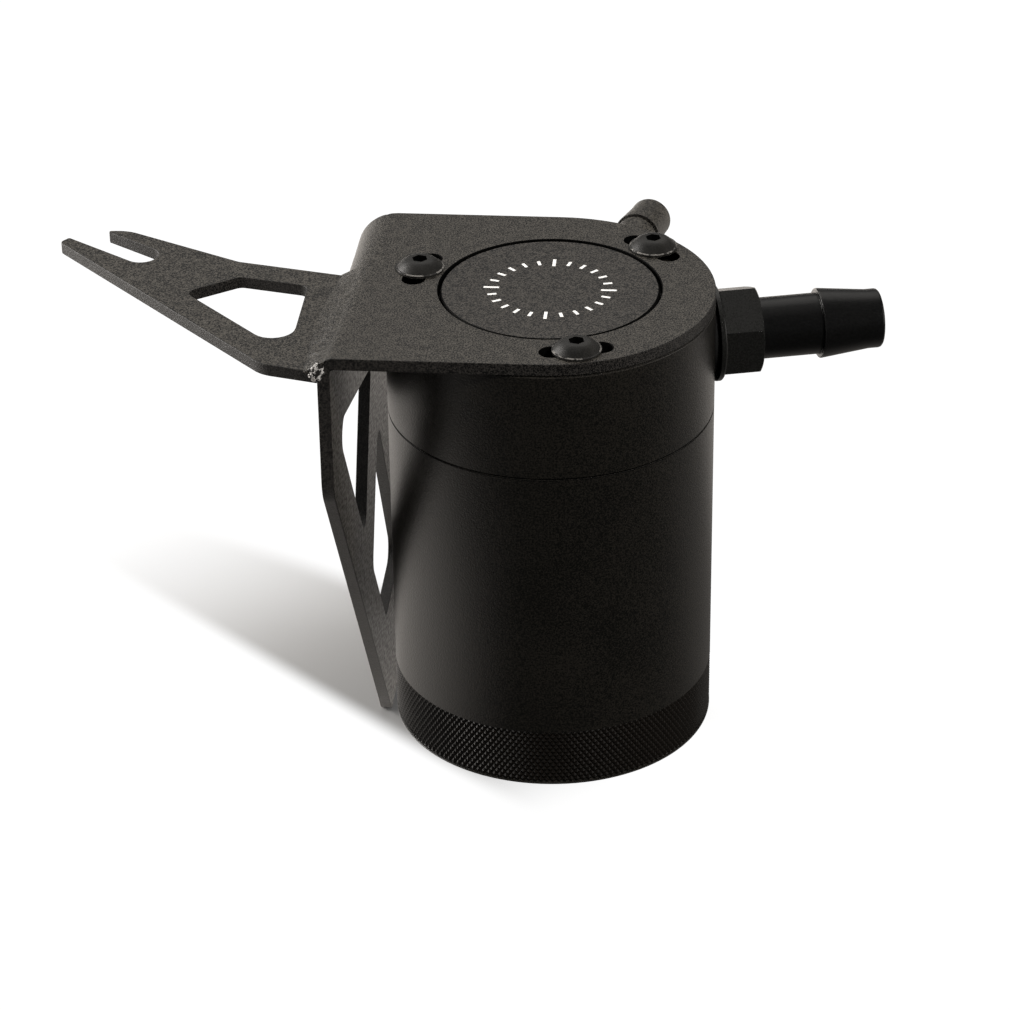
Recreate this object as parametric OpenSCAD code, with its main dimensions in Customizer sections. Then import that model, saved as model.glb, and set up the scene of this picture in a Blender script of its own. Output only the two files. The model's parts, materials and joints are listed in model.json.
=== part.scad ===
// Oil catch can with its mounting bracket, in millimetres.
// The origin is the centre of the cup's flat base, on the can's axis. +Z is up,
// -Y is the front and the bracket's leg stands on the -X side.

/* [Can] */
// Outside diameter of the cap and the cup
can_d = 80; // [76:1:100]
// Height of the cup, from its base to its rim
cup_h = 86.4; // [76:0.2:110]
// Thickness of the cup's wall
cup_wall = 4.7; // [4.5:0.1:6]
// Thickness of the cup's floor
cup_floor = 4; // [2.5:0.5:8]
// Height of the knurled grip band at the foot of the cup
grip_h = 15.2; // [8:0.2:30]
// Depth of the grip band below the cup's wall, at the middle of its knurl
grip_depth = 0.2; // [0.1:0.05:0.4]
// Chamfer on the outer edges of the cap and the cup
edge_chamfer = 0.5; // [0.2:0.1:1.2]
// Gap at the joint between the cap and the cup
seam_gap = 0.05; // [0.05:0.05:0.3]

/* [Cap] */
// Height of the cap above the joint
cap_h = 27.5; // [25:0.5:40]
// Thickness of the cap's roof
cap_roof = 5; // [4:0.5:6]
// Thickness of the cap's side wall
cap_wall = 12; // [10:0.5:14]
// Width of the shoulder round the boss that stands up through the bracket
boss_inset = 13.4; // [13:0.1:16]
// Height of the boss above the cap's shoulder
boss_h = 2.85; // [1.5:0.05:3]
// Length of the threaded spigot that goes down into the cup
spigot_h = 12; // [11:0.5:18]
// Wall thickness of the threaded spigot
spigot_wall = 3.2; // [2.5:0.1:4]
// Radial clearance between the spigot and the cup
spigot_gap = 0.1; // [0.05:0.05:0.3]
// Height of the two ports above the joint
port_rise = 14.6; // [13.5:0.1:16]
// Diameter of the outlet boss under the roof
outlet_boss_d = 18; // [16:0.5:20]
// Length of the outlet boss below the roof
outlet_boss_h = 16; // [13:0.5:17]
// Diameter of the tapped hole up the outlet boss
outlet_bore_d = 10; // [8:0.5:12]
// Diameter of the passage from the outlet boss to the rear port
passage_d = 7; // [5:0.5:8]
// Width of the rib around that passage
passage_rib_w = 14; // [13.5:0.5:15]
// Room past the end of the rear fitting's thread
port_end_gap = 0.5; // [0.3:0.1:0.8]

/* [Cup seal] */
// Section of the sealing ring in the cup's rim
cup_ring_section = 1.5; // [1.2:0.1:1.6]
// Width of its groove
cup_ring_groove_w = 2; // [1.9:0.1:2.4]
// Depth of its groove
cup_ring_groove_depth = 1.8; // [1.7:0.1:2.2]

/* [Side fitting] */
// Direction of the side fitting, turned from +X
side_angle = 14.5; // [5:0.5:20]
// Diameter of its thread
side_thread_d = 17; // [15:0.5:18]
// Diameter of its flange
side_flange_d = 24; // [22:0.5:25]
// Width across the flats of its hexagon
side_hex_af = 20.4; // [18:0.2:21]
// Length of its hexagon
side_hex_l = 9.5; // [6:0.5:14]
// Turn of its hexagon about the fitting's axis
side_hex_angle = 36; // [0:1:60]
// Diameter of its tube
side_tube_d = 15.1; // [13.5:0.1:16]
// Length of its tube
side_tube_l = 15.4; // [8:0.2:30]
// Largest diameter of its barb
side_barb_d = 17.3; // [16.5:0.1:20]
// Length of its barb, with the nose
side_barb_l = 15.6; // [10:0.2:24]
// Diameter of its nose
side_nose_d = 14.6; // [13.5:0.1:15.5]
// Diameter of its bore
side_bore_d = 11.5; // [8:0.5:12]

/* [Rear fitting] */
// Direction of the rear fitting, turned from +X
rear_angle = 74.5; // [70:0.5:85]
// Diameter of its thread
rear_thread_d = 13; // [12:0.5:15]
// Diameter of its flange
rear_flange_d = 18.6; // [18:0.2:22]
// Width across the flats of its hexagon
rear_hex_af = 16; // [14:0.2:18]
// Length of its hexagon
rear_hex_l = 9; // [6:0.5:14]
// Turn of its hexagon about the fitting's axis
rear_hex_angle = 30; // [0:1:60]
// Diameter of its tube
rear_tube_d = 10.8; // [10:0.1:11.5]
// Length of its tube
rear_tube_l = 15.2; // [8:0.2:30]
// Largest diameter of its barb
rear_barb_d = 12; // [11.8:0.1:14]
// Length of its barb, with the nose
rear_barb_l = 12; // [8:0.2:20]
// Diameter of its nose
rear_nose_d = 10.7; // [9.5:0.1:11]
// Diameter of its bore
rear_bore_d = 7.5; // [5:0.5:8]

/* [Fitting details] */
// Length of each fitting's thread
port_thread_l = 11; // [7:0.5:12]
// Thickness of each fitting's flange
flange_t = 1.5; // [1:0.1:3]
// Chamfer on each fitting's small edges
fitting_chamfer = 0.4; // [0.2:0.1:0.6]
// Length of the straight nose at the end of each barb
nose_l = 3.3; // [1.5:0.1:6]
// Rounding at the end of each nose
nose_round = 0.8; // [0.3:0.1:1.5]
// Depth of the spot face round each port
spot_face_depth = 1.8; // [1.6:0.1:2.5]
// Section of the sealing ring under each flange
port_ring_section = 1.7; // [1.5:0.05:1.75]
// Clearance round the threads of the fittings, the posts and the filter base
thread_gap = 0.05; // [0.03:0.01:0.1]

/* [Bracket sheet] */
// Thickness of the bracket's steel
sheet_t = 3; // [2.5:0.5:5]
// Inner radius of the bend
bend_r = 1; // [0.5:0.5:4]
// Overhang of the top plate past the can
plate_overhang = 0; // [0:0.5:6]
// Gap between the can and the inner face of the leg
leg_gap = 8.6; // [6:0.2:20]
// Rounding of the plate's rear corner at the bend
plate_corner_r = 4.5; // [2:0.5:10]
// Gap between the cap's shoulder and the plate, and under the screw heads
plate_gap = 0.05; // [0.05:0.05:0.3]
// Clearance round the boss in the plate's hole
boss_gap = 0.45; // [0.2:0.05:1]
// Distance of the three cap screws from the can's wall, in from the outside
screw_inset = 6.5; // [6.2:0.1:7]
// Width of the curved slots
slot_w = 5.4; // [5.2:0.1:6]
// Turn that the curved slots allow each way
slot_turn_angle = 10.4; // [6:0.2:16]

/* [Bracket leg] */
// Height of the plate's top over the bottom edge of the leg
leg_h = 156; // [140:1:180]
// Height of the plate's top over the corner of the leg's front edge
leg_front_h = 36.5; // [28:0.5:45]
// Slope of the leg's front edge
leg_rake_angle = 52.6; // [50:0.2:56]
// Rounding of that corner
leg_front_r = 12; // [4:1:20]
// Height of the plate's top over the start of the leg's rear edge
leg_rear_h = 11.4; // [8:0.2:16]
// Rounding of the leg's rear edge at that place
leg_rear_r = 3; // [1:0.5:6]
// Slope of the leg's rear edge
leg_rear_rake_angle = 58.5; // [56:0.5:62]
// Width of the foot along its bottom edge
foot_w = 43; // [38:1:50]
// Width of the front strut
leg_strut_w = 15.7; // [12:0.1:18]
// Width of the rear strut
leg_rear_strut_w = 19.5; // [14:0.5:21]
// Width of the brace between the two windows
leg_brace_w = 18.6; // [14:0.2:22]
// Slope of the brace
leg_brace_angle = 61; // [58:0.5:64]
// Distance from the plate's front edge back to the foot of the brace's front edge
leg_brace_run = 30; // [26:0.5:34]
// Drop from the plate's top to the upper window, on the can's axis
window_drop = 31.7; // [30:0.5:36]
// Slope of the upper window's top edge
window_slope_angle = 14.5; // [8:0.5:20]
// Rounding of the foot's corners
foot_corner_r = 5; // [1:0.5:6]
// Height of the foot below the lower window
foot_h = 33; // [28:1:38]
// Rounding of the windows' corners
window_r = 4.5; // [2:0.5:5]
// Rounding of the upper window's narrow rear corner
window_tip_r = 2; // [1:0.5:3]
// Diameter of the bolt hole in the foot
foot_hole_d = 9; // [6.6:0.1:11]
// Height of that hole above the bottom edge
foot_hole_rise = 17; // [12:0.5:20]
// Distance of that hole from the foot's rear edge
foot_hole_inset = 22; // [16:0.5:24]

/* [Bracket arm] */
// Depth of the arm's top face under the plate's top face
arm_drop = 3.6; // [3.2:0.1:8]
// Length of the arm's front edge beside the leg
arm_shoulder_l = 14.2; // [8:0.2:16]
// Slope of that edge
arm_shoulder_angle = 14.3; // [5:0.5:20]
// Slope of the arm's long front edge
arm_front_angle = 46.2; // [45:0.2:48]
// Slope of the arm's rear edge beside the leg
arm_rear_angle = 12.8; // [8:0.2:16]
// Width of the arm along the leg
arm_root_w = 51.2; // [48:0.5:54]
// Distance of the arm's rear corner from the leg
arm_knee_l = 26.9; // [24:0.5:30]
// Distance from the leg to the centre of the fork's slot
fork_x = 51.6; // [49:0.2:54]
// Distance of that centre behind the plate's front edge
fork_run = 59.7; // [58:0.2:61]
// Slope of the fork's slot
fork_angle = 34.8; // [32:0.2:37]
// Width of the fork's slot
fork_slot_w = 8.4; // [6.4:0.1:9]
// Length of the front tine, from the centre of the slot's round end
front_tine_l = 21.3; // [16:0.5:26]
// Length of the rear tine, from the centre of the slot's round end
rear_tine_l = 17; // [13:0.5:20]
// Length of the rear tine's narrow tip, from its shoulder
rear_tip_l = 4.6; // [4:0.1:7]
// Width of the rear tine at its shoulder
rear_tine_w = 3.7; // [3:0.1:6]
// Width of the arm's rim round its window
arm_rim_w = 8; // [6:0.2:9]
// Slope of the window's edge that faces the fork
arm_window_angle = 36; // [30:1:42]
// Distance along X from the slot's centre to that edge, level with the arm's rear root
arm_window_gap = 29.9; // [28:0.5:33]
// Rounding of the window's corners
arm_window_r = 2.5; // [1:0.1:3]
// Rounding of the window's front corner
arm_window_front_r = 5.3; // [2:0.1:6]
// Rounding of the arm's rear corner
arm_knee_r = 4; // [1:0.5:6]
// Rounding of the shoulder where the rear tine narrows to its tip
arm_shoulder_r = 10; // [4:0.5:10]
// Rounding of the arm's front corner beside the leg
arm_front_r = 9; // [4:0.5:12]
// Rounding of the tines' tips
tine_tip_r = 0.6; // [0.3:0.1:0.8]
// Rounding of the front tine's outer corner
tine_corner_r = 1.4; // [0.5:0.1:2]

/* [Cap screws] */
// Diameter of the cap screws' shank
screw_d = 5; // [4:0.5:5]
// Diameter of their flanged heads
screw_head_d = 11.8; // [9.5:0.1:12]
// Height of their heads
screw_head_h = 2.75; // [2.4:0.05:3.5]
// Thickness of the head's rim
screw_rim_t = 0.7; // [0.4:0.1:1.2]
// Length of their shank
screw_l = 11.5; // [8:0.5:12]
// Width across the flats of their sockets
screw_socket_af = 3; // [2.5:0.5:3]
// Depth of their sockets
screw_socket_depth = 2; // [1.5:0.1:2.2]

/* [Baffle] */
// Clearance between the baffle plate and the cup's bore
baffle_gap = 2.3; // [1.5:0.1:5]
// Thickness of the baffle plate
baffle_t = 2; // [1:0.5:4]
// Distance of the baffle plate below the joint
baffle_drop = 26.4; // [25:0.2:32]
// Diameter of the baffle's drain holes
drain_d = 5; // [3:0.5:5.5]
// Spacing of the drain holes round their rings
drain_pitch = 8.2; // [7.6:0.2:12]
// Sheet left between the drain holes and their neighbours
drain_rim = 1; // [0.8:0.1:2]
// Distance of the three posts from the wall of the cap's chamber
post_inset = 6; // [5:0.5:7]
// Turn of the first two posts away from the two fittings
post_turn_angle = 45; // [40:1:60]
// Diameter of the posts
post_d = 6; // [5:0.5:7]
// Diameter of the posts' studs and of the baffle screws
stud_d = 3; // [2.5:0.5:3]
// Length of the posts' studs
stud_l = 4; // [2.5:0.5:4]
// Diameter of the baffle screws' heads
baffle_head_d = 5.6; // [5:0.1:7]
// Height of the baffle screws' heads
baffle_head_h = 1.8; // [1.2:0.1:3]
// Length of the baffle screws' shanks
baffle_screw_l = 8; // [6:0.5:12]

/* [Filter] */
// Width across the flats of the filter base's hexagon
filter_hex_af = 14; // [12:0.5:16]
// Height of that hexagon
filter_hex_h = 4; // [3:0.5:6]
// Length of its thread
filter_thread_l = 7; // [5:0.5:9]
// Diameter of its bore
filter_bore_d = 6; // [4:0.5:6.5]
// Diameter of the filter element
filter_d = 16; // [14:0.5:20]
// Wall thickness of the filter element
filter_wall = 2.2; // [1.5:0.1:3]
// Length of the filter element
filter_l = 26; // [18:1:27]
// Length of the spigot that holds the filter element
filter_spigot_l = 4; // [3:0.5:6]

/* [Weld] */
// Width of the weld bead along the arm
weld_w = 3.2; // [2:0.2:4]
// Spacing of the bead's ripples
weld_pitch = 2.2; // [1.6:0.1:4]
// Height of the bead's ripples
weld_ripple = 0.3; // [0.1:0.05:0.5]
// Size of the lump where the bead ends at the front
weld_end_d = 5; // [4:0.2:6]

/* [Hidden] */
$fn = 96;
// Overlap of a cutting tool past the face that it cuts
over = 1;
// Steps of a rounded corner in a flat outline
corner_steps = 10;
// Steps up the dome of a cap screw's head
dome_steps = 8;
// Angles of a half turn and of a quarter turn
half_turn = 180;
quarter_turn = 90;

can_r = can_d / 2;
cup_bore_r = can_r - cup_wall;
spigot_r = cup_bore_r - spigot_gap;
spigot_bore_r = spigot_r - spigot_wall;
joint_z = cup_h + seam_gap;
shoulder_z = joint_z + cap_h;
roof_z = shoulder_z - cap_roof;
cavity_r = can_r - cap_wall;
port_z = joint_z + port_rise;
plate_z = shoulder_z + plate_gap;
plate_top_z = plate_z + sheet_t;
boss_d = can_d - 2 * boss_inset;
screw_circle_d = can_d - 2 * screw_inset;
post_circle_d = 2 * (cavity_r - post_inset);

// The outlet boss and what hangs from it
outlet_z = roof_z - outlet_boss_h;
filter_top_z = outlet_z - filter_hex_h;
baffle_z = joint_z - baffle_drop;

// The port faces, measured along each fitting's axis
flange_s = can_r + thread_gap;
spot_s = can_r - spot_face_depth;

// The bracket's sheet
plate_half_w = can_r + plate_overhang;
leg_x = can_r + leg_gap;
bend_outer_r = bend_r + sheet_t;
leg_out_x = leg_x + sheet_t;
bend_x = leg_out_x - bend_outer_r;
bend_z = plate_top_z - bend_outer_r;
bend_rear_y = plate_half_w - plate_corner_r;
screw_angles = [-75, 45, 165];
post_angles = [side_angle - post_turn_angle, rear_angle + post_turn_angle,
               (side_angle + rear_angle) / 2 + half_turn];

// Point where the line through p at angle a meets the line through q at angle b
function meet(p, a, q, b) =
    let (d = q - p, s = (d.x * sin(b) - d.y * cos(b)) / sin(b - a))
    [p.x + s * cos(a), p.y + s * sin(a)];

// Point at distance w to the left of p, for someone who looks along angle a
function beside(p, a, w) = [p.x - w * sin(a), p.y + w * cos(a)];

function unit(v) = v / norm(v);

// Points of the arc that rounds the corner b between a and c
function corner_arc(a, b, c, r) =
    let (u = unit(a - b), v = unit(c - b), half = acos(u * v) / 2,
         m = b + unit(u + v) * r / sin(half), p = b + u * r / tan(half),
         start = atan2(p.y - m.y, p.x - m.x),
         sweep = (half_turn - 2 * half) * sign(cross(b - a, c - b)))
    [for (i = [0:corner_steps]) m + r * [cos(start + sweep * i / corner_steps),
                                         sin(start + sweep * i / corner_steps)]];

// An outline with its corners rounded, each by its own radius; 0 leaves it sharp
module rounded_outline(corners, radii) {
    n = len(corners);
    polygon([for (i = [0:n - 1])
        each radii[i] == 0 ? [corners[i]]
            : corner_arc(corners[(i + n - 1) % n], corners[i], corners[(i + 1) % n], radii[i])]);
}

// Outline of a revolved piece, given as [radius, height] points
module turned() {
    rotate_extrude() children();
}

module chamfered_hex(af, l, chamfer) {
    corner_r = af / 2 / cos(30);
    intersection() {
        cylinder(r = corner_r, h = l, $fn = 6);
        turned() polygon([[0, 0], [corner_r, 0], [corner_r, l - chamfer],
                          [corner_r - chamfer * 1.6, l], [0, l]]);
    }
}

// A place on the axis of the fitting that points along the angle
module along_port(angle) {
    translate([0, 0, port_z]) rotate([0, 0, angle]) rotate([0, 90, 0]) children();
}

// A curved slot about the can's axis, through the plate
module curved_slot(angle) {
    slot_r = screw_circle_d / 2;
    translate([0, 0, plate_z - over]) rotate([0, 0, angle]) {
        rotate([0, 0, -slot_turn_angle]) rotate_extrude(angle = 2 * slot_turn_angle)
            translate([slot_r - slot_w / 2, 0]) square([slot_w, sheet_t + 2 * over]);
        for (end = [-slot_turn_angle, slot_turn_angle])
            rotate([0, 0, end]) translate([slot_r, 0, 0])
                cylinder(d = slot_w, h = sheet_t + 2 * over);
    }
}

// The leg's edges: a point on each, and its angle in the (Y, Z) plane
leg_bottom_z = plate_top_z - leg_h;
leg_front = [-plate_half_w, plate_top_z - leg_front_h];
foot_front = meet(leg_front, -leg_rake_angle, [0, leg_bottom_z], 0);
foot_rear_y = foot_front.x + foot_w;
front_strut = beside(leg_front, -leg_rake_angle, leg_strut_w);
brace_front = [leg_brace_run - plate_half_w, 0];
brace_rear = beside(brace_front, leg_brace_angle, -leg_brace_w);
window_top = [0, plate_top_z - window_drop];
foot_top = [0, leg_bottom_z + foot_h];
leg_rear = [bend_rear_y, plate_top_z - leg_rear_h];
rear_strut = beside(leg_rear, -leg_rear_rake_angle, -leg_rear_strut_w);

upper_window = [
    meet(front_strut, -leg_rake_angle, window_top, -window_slope_angle),
    meet(front_strut, -leg_rake_angle, brace_front, leg_brace_angle),
    meet(window_top, -window_slope_angle, brace_front, leg_brace_angle)];
lower_window = [
    meet(brace_rear, leg_brace_angle, rear_strut, -leg_rear_rake_angle),
    meet(brace_rear, leg_brace_angle, front_strut, -leg_rake_angle),
    meet(front_strut, -leg_rake_angle, foot_top, 0),
    meet(foot_top, 0, rear_strut, -leg_rear_rake_angle)];

// Stands a (Y, Z) outline up as a sheet at the leg's place
module leg_sheet(t, out_x) {
    translate([-out_x, 0, 0]) rotate([90, 0, 90]) linear_extrude(t) children();
}

module leg() {
    difference() {
        leg_sheet(sheet_t, leg_out_x) rounded_outline(
            [[-plate_half_w, bend_z], leg_front, foot_front, [foot_rear_y, leg_bottom_z],
             meet(leg_rear, -leg_rear_rake_angle, [foot_rear_y, 0], quarter_turn), leg_rear,
             [bend_rear_y, bend_z]],
            [0, leg_front_r, foot_corner_r / 2, foot_corner_r, foot_corner_r, leg_rear_r, 0]);
        leg_sheet(sheet_t + 2 * over, leg_out_x + over)
            rounded_outline(upper_window, [window_r, window_r, window_tip_r]);
        leg_sheet(sheet_t + 2 * over, leg_out_x + over)
            rounded_outline(lower_window, [window_r, window_r, window_r, window_r]);
        translate([-leg_out_x - over, foot_rear_y - foot_hole_inset, leg_bottom_z + foot_hole_rise])
            rotate([0, 90, 0]) cylinder(d = foot_hole_d, h = sheet_t + 2 * over);
    }
}

module bend() {
    translate([-bend_x, bend_rear_y, bend_z]) rotate([90, 0, 0])
        linear_extrude(plate_half_w + bend_rear_y) intersection() {
            difference() {
                circle(r = bend_outer_r);
                circle(r = bend_r);
            }
            translate([-bend_outer_r, 0]) square(bend_outer_r);
        }
}

module top_plate() {
    difference() {
        translate([0, 0, plate_z]) linear_extrude(sheet_t) union() {
            circle(r = plate_half_w);
            rounded_outline(
                [[-bend_x, -plate_half_w], [0, -plate_half_w], [0, plate_half_w],
                 [-bend_x, plate_half_w]],
                [0, 0, 0, plate_corner_r]);
        }
        translate([0, 0, plate_z - over])
            cylinder(r = boss_d / 2 + boss_gap, h = sheet_t + 2 * over);
        for (angle = screw_angles) curved_slot(angle);
    }
}

// One sheet, cut and folded: the top plate, the bend and the windowed leg
module bracket_plate() {
    color("#3c3a38") union() {
        top_plate();
        bend();
        leg();
    }
}

// The arm's edges, in the (X, Y) plane
arm_root = [-leg_out_x, -plate_half_w];
arm_rear_y = arm_root_w - plate_half_w;
arm_front_dir = half_turn - arm_front_angle;
arm_corner = arm_root + arm_shoulder_l * [-cos(arm_shoulder_angle), sin(arm_shoulder_angle)];
arm_rear_root = [-leg_out_x, arm_rear_y];
arm_knee = [-leg_out_x - arm_knee_l, arm_rear_y + arm_knee_l * tan(arm_rear_angle)];
fork = [-leg_out_x - fork_x, fork_run - plate_half_w];
fork_dir = half_turn - fork_angle;
fork_along = [cos(fork_dir), sin(fork_dir)];
fork_across = [-sin(fork_dir), cos(fork_dir)];
slot_half_w = fork_slot_w / 2;
slot_end = fork - slot_half_w * fork_along;
front_tip = fork + front_tine_l * fork_along + slot_half_w * fork_across;
rear_tip = fork + rear_tine_l * fork_along - slot_half_w * fork_across;
rear_shoulder = fork + (rear_tine_l - rear_tip_l) * fork_along
    - (slot_half_w + rear_tine_w) * fork_across;

arm_outline = [
    arm_root, arm_rear_root, arm_knee, rear_shoulder, rear_tip,
    slot_end - slot_half_w * fork_across, slot_end + slot_half_w * fork_across,
    front_tip, meet(front_tip, fork_dir + quarter_turn, arm_corner, arm_front_dir), arm_corner];

window_front = beside(arm_corner, arm_front_dir, -arm_rim_w);
window_rear = beside(arm_rear_root, half_turn - arm_rear_angle, arm_rim_w);
window_leg = [-leg_out_x - arm_rim_w, 0];
window_fork = [fork.x + arm_window_gap, arm_rear_y];
arm_window = [
    meet(window_leg, quarter_turn, window_rear, half_turn - arm_rear_angle),
    meet(window_rear, half_turn - arm_rear_angle, window_fork, arm_window_angle),
    meet(window_fork, arm_window_angle, window_front, arm_front_dir),
    meet(window_front, arm_front_dir, window_leg, quarter_turn)];

arm_top_z = plate_top_z - arm_drop;
arm_z = arm_top_z - sheet_t;
// Roundings of the arm's corners and of its window's corners, in the order of their points
slot_end_r = 0.98 * slot_half_w;
arm_radii = [0, 0, arm_knee_r, arm_shoulder_r, tine_tip_r, slot_end_r, slot_end_r,
             tine_tip_r, tine_corner_r, arm_front_r];
arm_window_radii = [arm_window_r, arm_window_r, arm_window_r, arm_window_front_r];

// The forked arm, a flat piece with one window
module bracket_arm() {
    color("#45423f") difference() {
        translate([0, 0, arm_z]) linear_extrude(sheet_t) rounded_outline(arm_outline, arm_radii);
        translate([0, 0, arm_z - over]) linear_extrude(sheet_t + 2 * over)
            rounded_outline(arm_window, arm_window_radii);
    }
}

// A rippled round bead along the arm's root, centred on the (X, Z) point, with a lump in front
module bead(at, lump_r) {
    count = floor(arm_root_w / weld_pitch);
    ripple = [1, 0.2, 0, 0.4];
    translate([at.x, -plate_half_w, at.y]) rotate([-90, 0, 0]) turned() polygon([
        for (a = [-90:30:30]) [lump_r * cos(a), lump_r * (0.3 + sin(a))],
        for (k = [1 : count - 1]) for (i = [0:3])
            [weld_w - weld_ripple * ripple[i], (k + i / 4) * weld_pitch],
        [weld_w - weld_ripple, count * weld_pitch], [0, count * weld_pitch]]);
}

// The bent sheet up to its outer faces, to trim the beads
module sheet_solid() {
    translate([0, -plate_half_w, 0]) {
        translate([-bend_x, 0, bend_z]) rotate([-90, 0, 0])
            cylinder(r = bend_outer_r, h = 2 * plate_half_w);
        translate([-leg_out_x, 0, 0]) cube([2 * bend_outer_r, 2 * plate_half_w, bend_z]);
        translate([-bend_x, 0, 0]) cube([2 * bend_outer_r, 2 * plate_half_w, plate_top_z]);
    }
}

// What the arm takes up of the beads: its sheet and all that lies beyond it
module beyond_arm(start_z) {
    translate([-leg_out_x - 2 * weld_end_d, -plate_half_w, start_z])
        cube([4 * weld_end_d, 2 * plate_half_w, 2 * weld_end_d]);
}

// The bead in the corner over the arm, with the lump where it ends at the front
module weld_top() {
    color("#4a4744") difference() {
        bead([-leg_out_x, arm_top_z], weld_end_d / 2);
        sheet_solid();
        beyond_arm(arm_top_z - 2 * weld_end_d);
    }
}

// The bead in the corner under the arm
module weld_bottom() {
    color("#4a4744") difference() {
        bead([-leg_out_x, arm_z], weld_ripple);
        sheet_solid();
        beyond_arm(arm_z);
    }
}

// Body of the cap, turned: the boss above, the roof and the wall, and the spigot below
module cap_body() {
    boss_r = boss_d / 2;
    boss_top_z = shoulder_z + boss_h;
    spigot_z = joint_z - spigot_h;
    turned() polygon([
        [spigot_bore_r, spigot_z], [spigot_r - edge_chamfer, spigot_z],
        [spigot_r, spigot_z + edge_chamfer], [spigot_r, joint_z],
        [can_r - edge_chamfer, joint_z], [can_r, joint_z + edge_chamfer],
        [can_r, shoulder_z - edge_chamfer], [can_r - edge_chamfer, shoulder_z],
        [boss_r, shoulder_z], [boss_r, boss_top_z - edge_chamfer],
        [boss_r - edge_chamfer, boss_top_z], [0, boss_top_z],
        [0, roof_z], [cavity_r, roof_z], [cavity_r, joint_z + spigot_wall], [spigot_bore_r, joint_z]]);
}

// The boss under the roof, with the rib that carries its passage to the rear port
module outlet_boss() {
    rib_z = port_z - passage_rib_w / 2;
    translate([0, 0, outlet_z]) cylinder(d = outlet_boss_d, h = outlet_boss_h + over);
    rotate([0, 0, rear_angle]) translate([0, -passage_rib_w / 2, rib_z])
        cube([cavity_r + over, passage_rib_w, roof_z + over - rib_z]);
}

// Outside diameter of the sealing ring round a fitting's thread
function port_ring_d(thread_d) = thread_d + 2 * thread_gap + 2 * port_ring_section;

// What a port takes out of the cap: its tapped hole and its spot face
module port_cut(angle, thread_d, start_s) {
    along_port(angle) {
        translate([0, 0, start_s]) cylinder(d = thread_d + 2 * thread_gap, h = can_r);
        translate([0, 0, spot_s]) cylinder(d = port_ring_d(thread_d) + 2 * thread_gap, h = can_r);
    }
}

// Places a child on a circle about the can's axis
module on_circle(angle, d) {
    rotate([0, 0, angle]) translate([d / 2, 0, 0]) children();
}

module cap() {
    color("#262524") difference() {
        union() {
            cap_body();
            outlet_boss();
        }
        port_cut(side_angle, side_thread_d, cavity_r - 2 * over);
        port_cut(rear_angle, rear_thread_d, flange_s - port_thread_l - port_end_gap);
        along_port(rear_angle) cylinder(d = passage_d, h = can_r);
        translate([0, 0, outlet_z - over])
            cylinder(d = outlet_bore_d, h = port_z + passage_d / 2 - outlet_z + 2 * over);
        for (angle = screw_angles) on_circle(angle, screw_circle_d)
            translate([0, 0, shoulder_z - screw_l])
                cylinder(d = screw_d + 2 * thread_gap, h = screw_l + over);
        for (angle = post_angles) on_circle(angle, post_circle_d)
            translate([0, 0, roof_z - over])
                cylinder(d = stud_d + 2 * thread_gap, h = stud_l + over + thread_gap);
    }
}

// Middle radius of the sealing ring and its groove, in the middle of the cup's rim
cup_ring_mid_r = (cup_bore_r + can_r) / 2;

// The cup, turned, with the groove for its sealing ring in the rim
module cup() {
    groove_in_r = cup_ring_mid_r - cup_ring_groove_w / 2;
    groove_out_r = cup_ring_mid_r + cup_ring_groove_w / 2;
    groove_z = cup_h - cup_ring_groove_depth;
    floor_ramp = cup_floor / 2;
    grip_r = can_r - grip_depth;
    color("#1f1e1d") turned() polygon([
        [0, 0], [grip_r - 2 * edge_chamfer, 0], [grip_r, 2 * edge_chamfer], [grip_r, grip_h],
        [can_r, grip_h],
        [can_r, cup_h - edge_chamfer], [can_r - edge_chamfer, cup_h],
        [groove_out_r, cup_h], [groove_out_r, groove_z], [groove_in_r, groove_z],
        [groove_in_r, cup_h], [cup_bore_r + edge_chamfer, cup_h], [cup_bore_r, cup_h - edge_chamfer],
        [cup_bore_r, cup_floor + floor_ramp], [cup_bore_r - floor_ramp, cup_floor],
        [0, cup_floor]]);
}

// A round sealing ring about Z
module sealing_ring(mid_r, section) {
    color("#141414") turned() translate([mid_r, 0]) circle(d = section);
}

module cup_ring() {
    translate([0, 0, cup_h - cup_ring_groove_depth / 2]) sealing_ring(cup_ring_mid_r, cup_ring_section);
}

// A hose fitting along +Z from the can's axis: thread, flange, hexagon, tube and barb
module hose_fitting(thread_d, flange_d, hex_af, hex_l, hex_angle, tube_d, tube_l,
                    barb_d, barb_l, nose_d, bore_d) {
    thread_s = flange_s - port_thread_l;
    hex_s = flange_s + flange_t;
    barb_s = hex_s + hex_l + tube_l;
    end_s = barb_s + barb_l;
    ch = fitting_chamfer;
    difference() {
        union() {
            turned() polygon([
                [0, thread_s], [thread_d / 2 - ch, thread_s], [thread_d / 2, thread_s + ch],
                [thread_d / 2, flange_s], [flange_d / 2, flange_s],
                [flange_d / 2, hex_s - ch], [flange_d / 2 - ch, hex_s],
                [tube_d / 2, hex_s], [tube_d / 2, barb_s], [barb_d / 2 - ch / 2, barb_s],
                [barb_d / 2, barb_s + ch / 2], [nose_d / 2, end_s - nose_l],
                for (a = [0:30:90]) [nose_d / 2 - nose_round * (1 - cos(a)),
                                     end_s - nose_round * (1 - sin(a))],
                [0, end_s]]);
            translate([0, 0, hex_s]) rotate([0, 0, 90 + hex_angle])
                chamfered_hex(hex_af, hex_l, 2 * ch);
        }
        translate([0, 0, thread_s - over]) cylinder(d = bore_d, h = end_s - thread_s + 2 * over);
    }
}

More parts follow.
